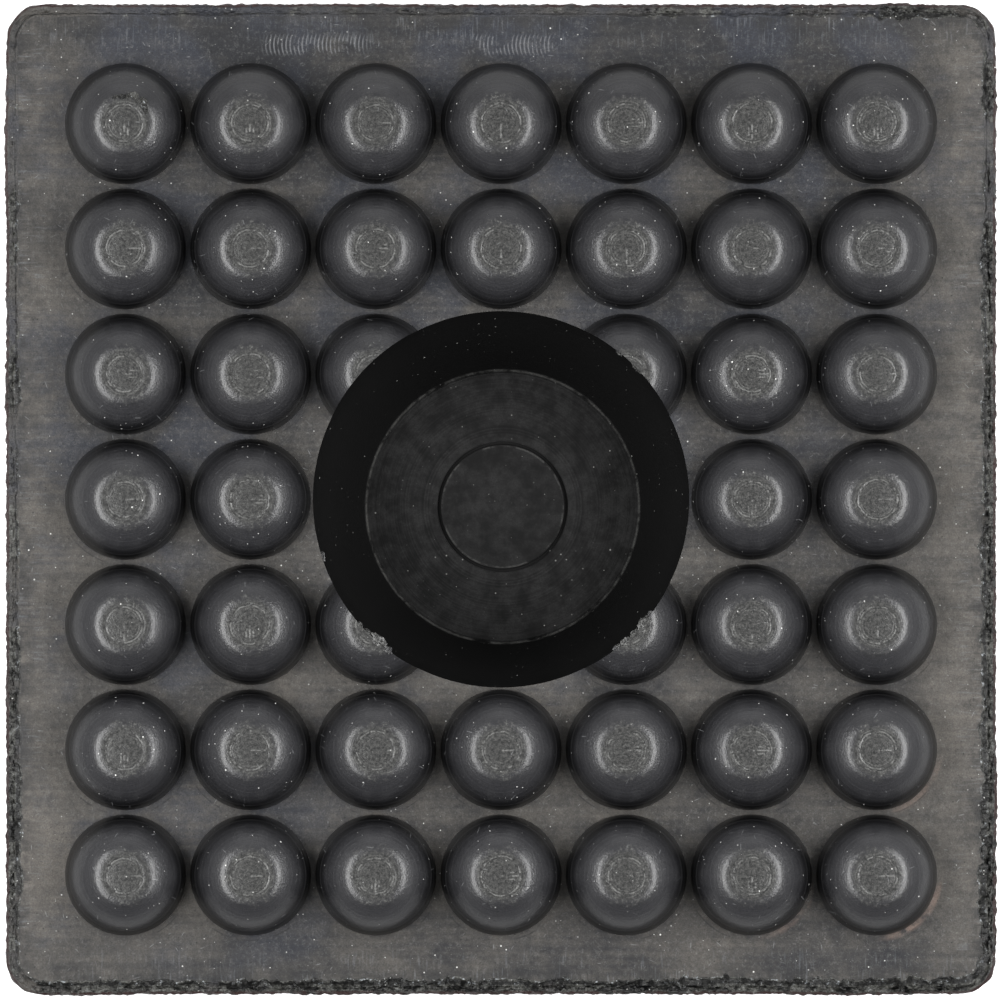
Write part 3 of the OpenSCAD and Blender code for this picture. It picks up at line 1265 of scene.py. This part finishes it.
# %% Marks on the studs
tree, rubber = principled(stud_rubber)
place = tree.millimetres()
dust = tree.group(dust_group, Place=place)
scratches = tree.group(scratch_group, Place=place)["Mask"]
grain = tree.group(grain_group, Place=place)
on_stud = tree.group(stud_group, Place=place)
radius = on_stud["Radius"]
chance = tree.parts(on_stud["Chance"])
local = tree.parts(on_stud["Local"])
height = tree.parts(place)[2]

patchy = tree.noise(place, 0.9, detail=2, roughness=0.7)
wobble = tree.times(tree.minus(patchy, 0.5), 0.45)
ring_radius = tree.plus(tree.plus(RING_LEAST, tree.times(chance[0], 0.35)), wobble)
off_ring = tree.off(radius, ring_radius)
ring = tree.ramp(off_ring, 0.13, 0.03)
second_ring = tree.ramp(tree.off(off_ring, 0.34), 0.10, 0.03)

to_front = tree.math("GREATER_THAN", chance[1], 0.55)
ahead = tree.choose(to_front, local[0], tree.times(local[1], -1))
aside = tree.size(tree.choose(to_front, local[1], local[0]))
line = tree.times(tree.ramp(aside, 0.14, 0.05), tree.ramp(ahead, 0.0, 0.2), tree.ramp(ahead, 2.1, 1.9))
pair = tree.times(tree.ramp(tree.off(aside, 0.42), 0.12, 0.05), tree.ramp(ahead, 0.5, 0.8),
                  tree.ramp(ahead, 1.7, 1.4), tree.math("GREATER_THAN", chance[2], 0.5))
tool_marks = tree.larger(ring, tree.larger(line, pair))
tool_marks = tree.larger(tool_marks, tree.times(second_ring, 0.35))
tool_marks = tree.times(tool_marks, tree.ramp(patchy, 0.42, 0.58))
print("the studs have", len(tree.tree.nodes), "nodes so far")

# %% [markdown]
# ## The studs: colour and relief
#
# The pockets for the studs were polished, so the domes are blacker and glossier than
# the face, with fine turning lines round them. They are blackest at the foot, partly
# because nothing ever rubs them there and partly as painted shade where the studs
# crowd each other. The flat tops are worn grey. The shoulders round them are worn grey
# too, and their pale coat is also a painted highlight where the lamps shine in them.
# Edge wear could follow the mesh's Pointiness, which needs a dense mesh and smears on
# round forms. Height and distance from the axis say the same on a stud, and are exact.

# %% Stud finish
on_top = tree.ramp(radius, 3.3, 2.6)
worn = tree.noise(place, 2.4, detail=2, roughness=0.9)
shoulder = tree.times(tree.ramp(radius, 4.2, 3.1), tree.ramp(patchy, 0.35, 0.6))
turning = tree.noise(tree.join(tree.times(radius, 5), tree.times(height, 0.7), 0), 1.0,
                     detail=2, roughness=0.6)

# Darker towards the foot: partly unrubbed rubber, partly painted shade between the crowded studs.
colour = tree.mix(tree.ramp(height, 25.7, 28.9), shade(8, 8, 9), shade(43, 43, 46))
colour = tree.over(colour, shade(84, 84, 86), tree.ramp(turning, 0.5, 0.7), 0.2)
# The shoulders' pale coats: worn grey, and also a painted highlight where the lamps' crescents fall.
colour = tree.over(colour, shade(66, 66, 65), shoulder, 0.4)
colour = tree.over(colour, shade(112, 112, 109), shoulder, tree.ramp(worn, 0.5, 0.68), 0.7)
top_colour = tree.mix(tree.ramp(worn, 0.28, 0.75), shade(22, 22, 22), shade(78, 78, 76))
top_colour = tree.over(top_colour, shade(110, 110, 107), tree.ramp(turning, 0.52, 0.66), 0.2)
colour = tree.over(colour, top_colour, on_top, 0.9)
colour = tree.over(colour, shade(165, 165, 162), tool_marks, on_top, 0.3)
colour = tree.over(colour, shade(14, 14, 14), dust["Pits"], 0.6)
colour = tree.over(colour, SCRATCHED, scratches, 0.3)
colour = tree.over(colour, DUST, dust["Mask"])

tree.put(tree.scaled(colour, tree.spread(grain["Fine"], 0.4, 1.6)), rubber["Base Color"])
tree.put(tree.spread(worn, 0.28, 0.40), rubber["Roughness"])
tree.put(0.8, rubber["Specular IOR Level"])
rubbed = tree.larger(on_top, tree.times(shoulder, 0.5))
relief = tree.plus(tree.times(grain["Height"], 1.2), tree.times(turning, 0.4), tree.times(grain["Fine"], 0.7),
                   tree.times(tool_marks, 0.5), tree.times(rubbed, worn))
tree.put(tree.bump(relief, distance=0.03 * MM), rubber["Normal"])
print("stud_rubber has", len(tree.tree.nodes), "nodes")

# %% [markdown]
# ## The recess
#
# The core was turned and polished, so its wall left a smooth, deep black. On the
# floor the lathe's marks run in circles round the floor's own middle, and some
# bloom lies on the disc in the centre. The groove round the disc is painted black, as
# painted shade. The edge of the floor and the edge of the disc get a pale painted
# highlight. Wall, floor and disc could be three materials. One is enough, because
# height and distance from the middle tell them apart.

# %% Recess finish
tree, rubber = principled(core_rubber)
place = tree.millimetres()
height = tree.parts(place)[2]
dust = tree.group(dust_group, Place=place)["Mask"]
grain = tree.group(grain_group, Place=place)
from_middle = tree.vector("SUBTRACT", place, (*(FLOOR_MIDDLE / MM), 0))
radius = tree.length(tree.vector("MULTIPLY", from_middle, (1, 1, 0)))
turning = tree.noise(tree.join(tree.times(radius, 3), 0, 0), 1.0, detail=3, roughness=0.7)
floor_mottling = tree.noise(place, 0.45, detail=3, roughness=0.7)

on_floor = tree.ramp(height, FLOOR_Z / MM + 0.9, FLOOR_Z / MM + 0.5)
film = tree.plus(tree.times(turning, 0.7), tree.times(floor_mottling, 0.9))
floor_colour = tree.mix(tree.ramp(film, 0.60, 1.02), shade(3, 3, 3), shade(38, 38, 38))
disc_colour = tree.mix(tree.ramp(floor_mottling, 0.34, 0.70), shade(4, 4, 4), shade(32, 32, 32))
on_disc = tree.ramp(radius, WITNESS_RADIUS / MM, WITNESS_RADIUS / MM - 0.5)
floor_colour = tree.over(floor_colour, disc_colour, on_disc)
# Painted shade: the groove round the disc is painted near black.
groove = tree.ramp(tree.off(radius, WITNESS_RADIUS / MM), 0.28, 0.18)
floor_colour = tree.over(floor_colour, shade(2, 2, 2), groove)
colour = tree.mix(on_floor, shade(16, 16, 16), floor_colour)

# Painted highlights: pale lines at the floor's edge and at the disc's edge.
edge = tree.ramp(tree.off(radius, FLOOR_RADIUS / MM - 0.1), 0.18, 0.04)
disc_rim_highlight = tree.ramp(tree.off(radius, WITNESS_RADIUS / MM - 0.35), 0.16, 0.05)
painted_edge_highlights = tree.larger(edge, tree.times(disc_rim_highlight, tree.ramp(floor_mottling, 0.48, 0.60), 0.6))
painted_edge_highlights = tree.times(painted_edge_highlights, on_floor, tree.ramp(floor_mottling, 0.35, 0.6))
colour = tree.over(colour, shade(110, 110, 107), painted_edge_highlights, 0.35)
colour = tree.over(colour, shade(190, 190, 186), dust, 0.6)

tree.put(tree.scaled(colour, tree.spread(grain["Fine"], 0.3, 1.7)), rubber["Base Color"])
tree.put(tree.spread(on_floor, 0.3, 0.6), rubber["Roughness"])
tree.put(0.25, rubber["Specular IOR Level"])
relief = tree.plus(tree.times(turning, on_floor), tree.times(grain["Height"], 0.5))
tree.put(tree.bump(relief, distance=0.04 * MM, strength=0.8), rubber["Normal"])
print("core_rubber has", len(tree.tree.nodes), "nodes")

# %% [markdown]
# ## The torn edge
#
# Torn rubber has never touched the mould. It is dull and black, with pale crumbs
# where it stretched before it gave way, most of all along the ragged line. The pale
# coat there is also a painted highlight, for the glints on the crumbs. The crevice
# behind them is painted black, as painted shade. The rim of the lip, where it is
# thinnest, is brown. Where little was torn off, the edge still has the bloom of the
# face. A distance from the outline would say none of this, because the tear wanders.
# The values in the mesh do: how torn each place is, and how near to the ragged line.

# %% Torn finish
tree, rubber = principled(torn_rubber)
place = tree.millimetres()
dust = tree.group(dust_group, Place=place)["Mask"]
grain = tree.group(grain_group, Place=place)
bloom = tree.group(bloom_group, Place=place)["Share"]
torn = tree.node("Attribute", attribute_name="wear").outputs["Fac"]
crest = tree.node("Attribute", attribute_name="crest").outputs["Fac"]
lumps = tree.noise(place, 1.3, detail=3, roughness=0.9)
clumps = tree.noise(place, 0.5, detail=2, roughness=0.6)

old_face = tree.over(bloomed_colour(tree, place, bloom), shade(34, 34, 35), 0.2)
mottle = tree.plus(lumps, tree.times(clumps, 0.5))
fresh = tree.mix(tree.ramp(mottle, 0.66, 0.90), shade(6, 6, 6), shade(84, 84, 80))
bared = tree.ramp(tree.plus(torn, tree.times(tree.minus(clumps, 0.5), 1.6)), 0.3, 0.55)
colour = tree.mix(bared, old_face, fresh)
# Painted shade: the crevice behind the ragged line is painted black.
painted_crevice_shade = tree.times(tree.ramp(crest, 0.05, 0.25), tree.ramp(crest, 0.65, 0.45), tree.ramp(clumps, 0.36, 0.52))
colour = tree.over(colour, shade(6, 6, 6), painted_crevice_shade, 0.9)
# Pale crumbs, and a painted highlight for their glints, strongest on the ragged line.
pale = tree.times(tree.ramp(lumps, 0.58, 0.68), tree.plus(0.15, tree.times(crest, 0.85)), bared)
colour = tree.over(colour, shade(176, 182, 188), pale, 0.9)
rim = tree.ramp(crest, -0.05, -0.5)
colour = tree.over(colour, shade(46, 25, 24), rim, tree.ramp(clumps, 0.3, 0.55))
colour = tree.over(colour, shade(225, 225, 222), dust)

tree.put(tree.scaled(colour, tree.spread(grain["Fine"], 0.4, 1.6)), rubber["Base Color"])
tree.put(0.5, rubber["Roughness"])
tree.put(tree.bump(tree.plus(lumps, grain["Height"]), distance=0.12 * MM), rubber["Normal"])
print("torn_rubber has", len(tree.tree.nodes), "nodes")

# %% [markdown]
# ## The two boxes
#
# The box of the imported drawing and the box of what is shown are both printed.

# %% The two boxes
visual_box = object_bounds()
sizes = {"cad": [list(corner) for corner in cad_box], "visual": [list(corner) for corner in visual_box]}
print(sizes)
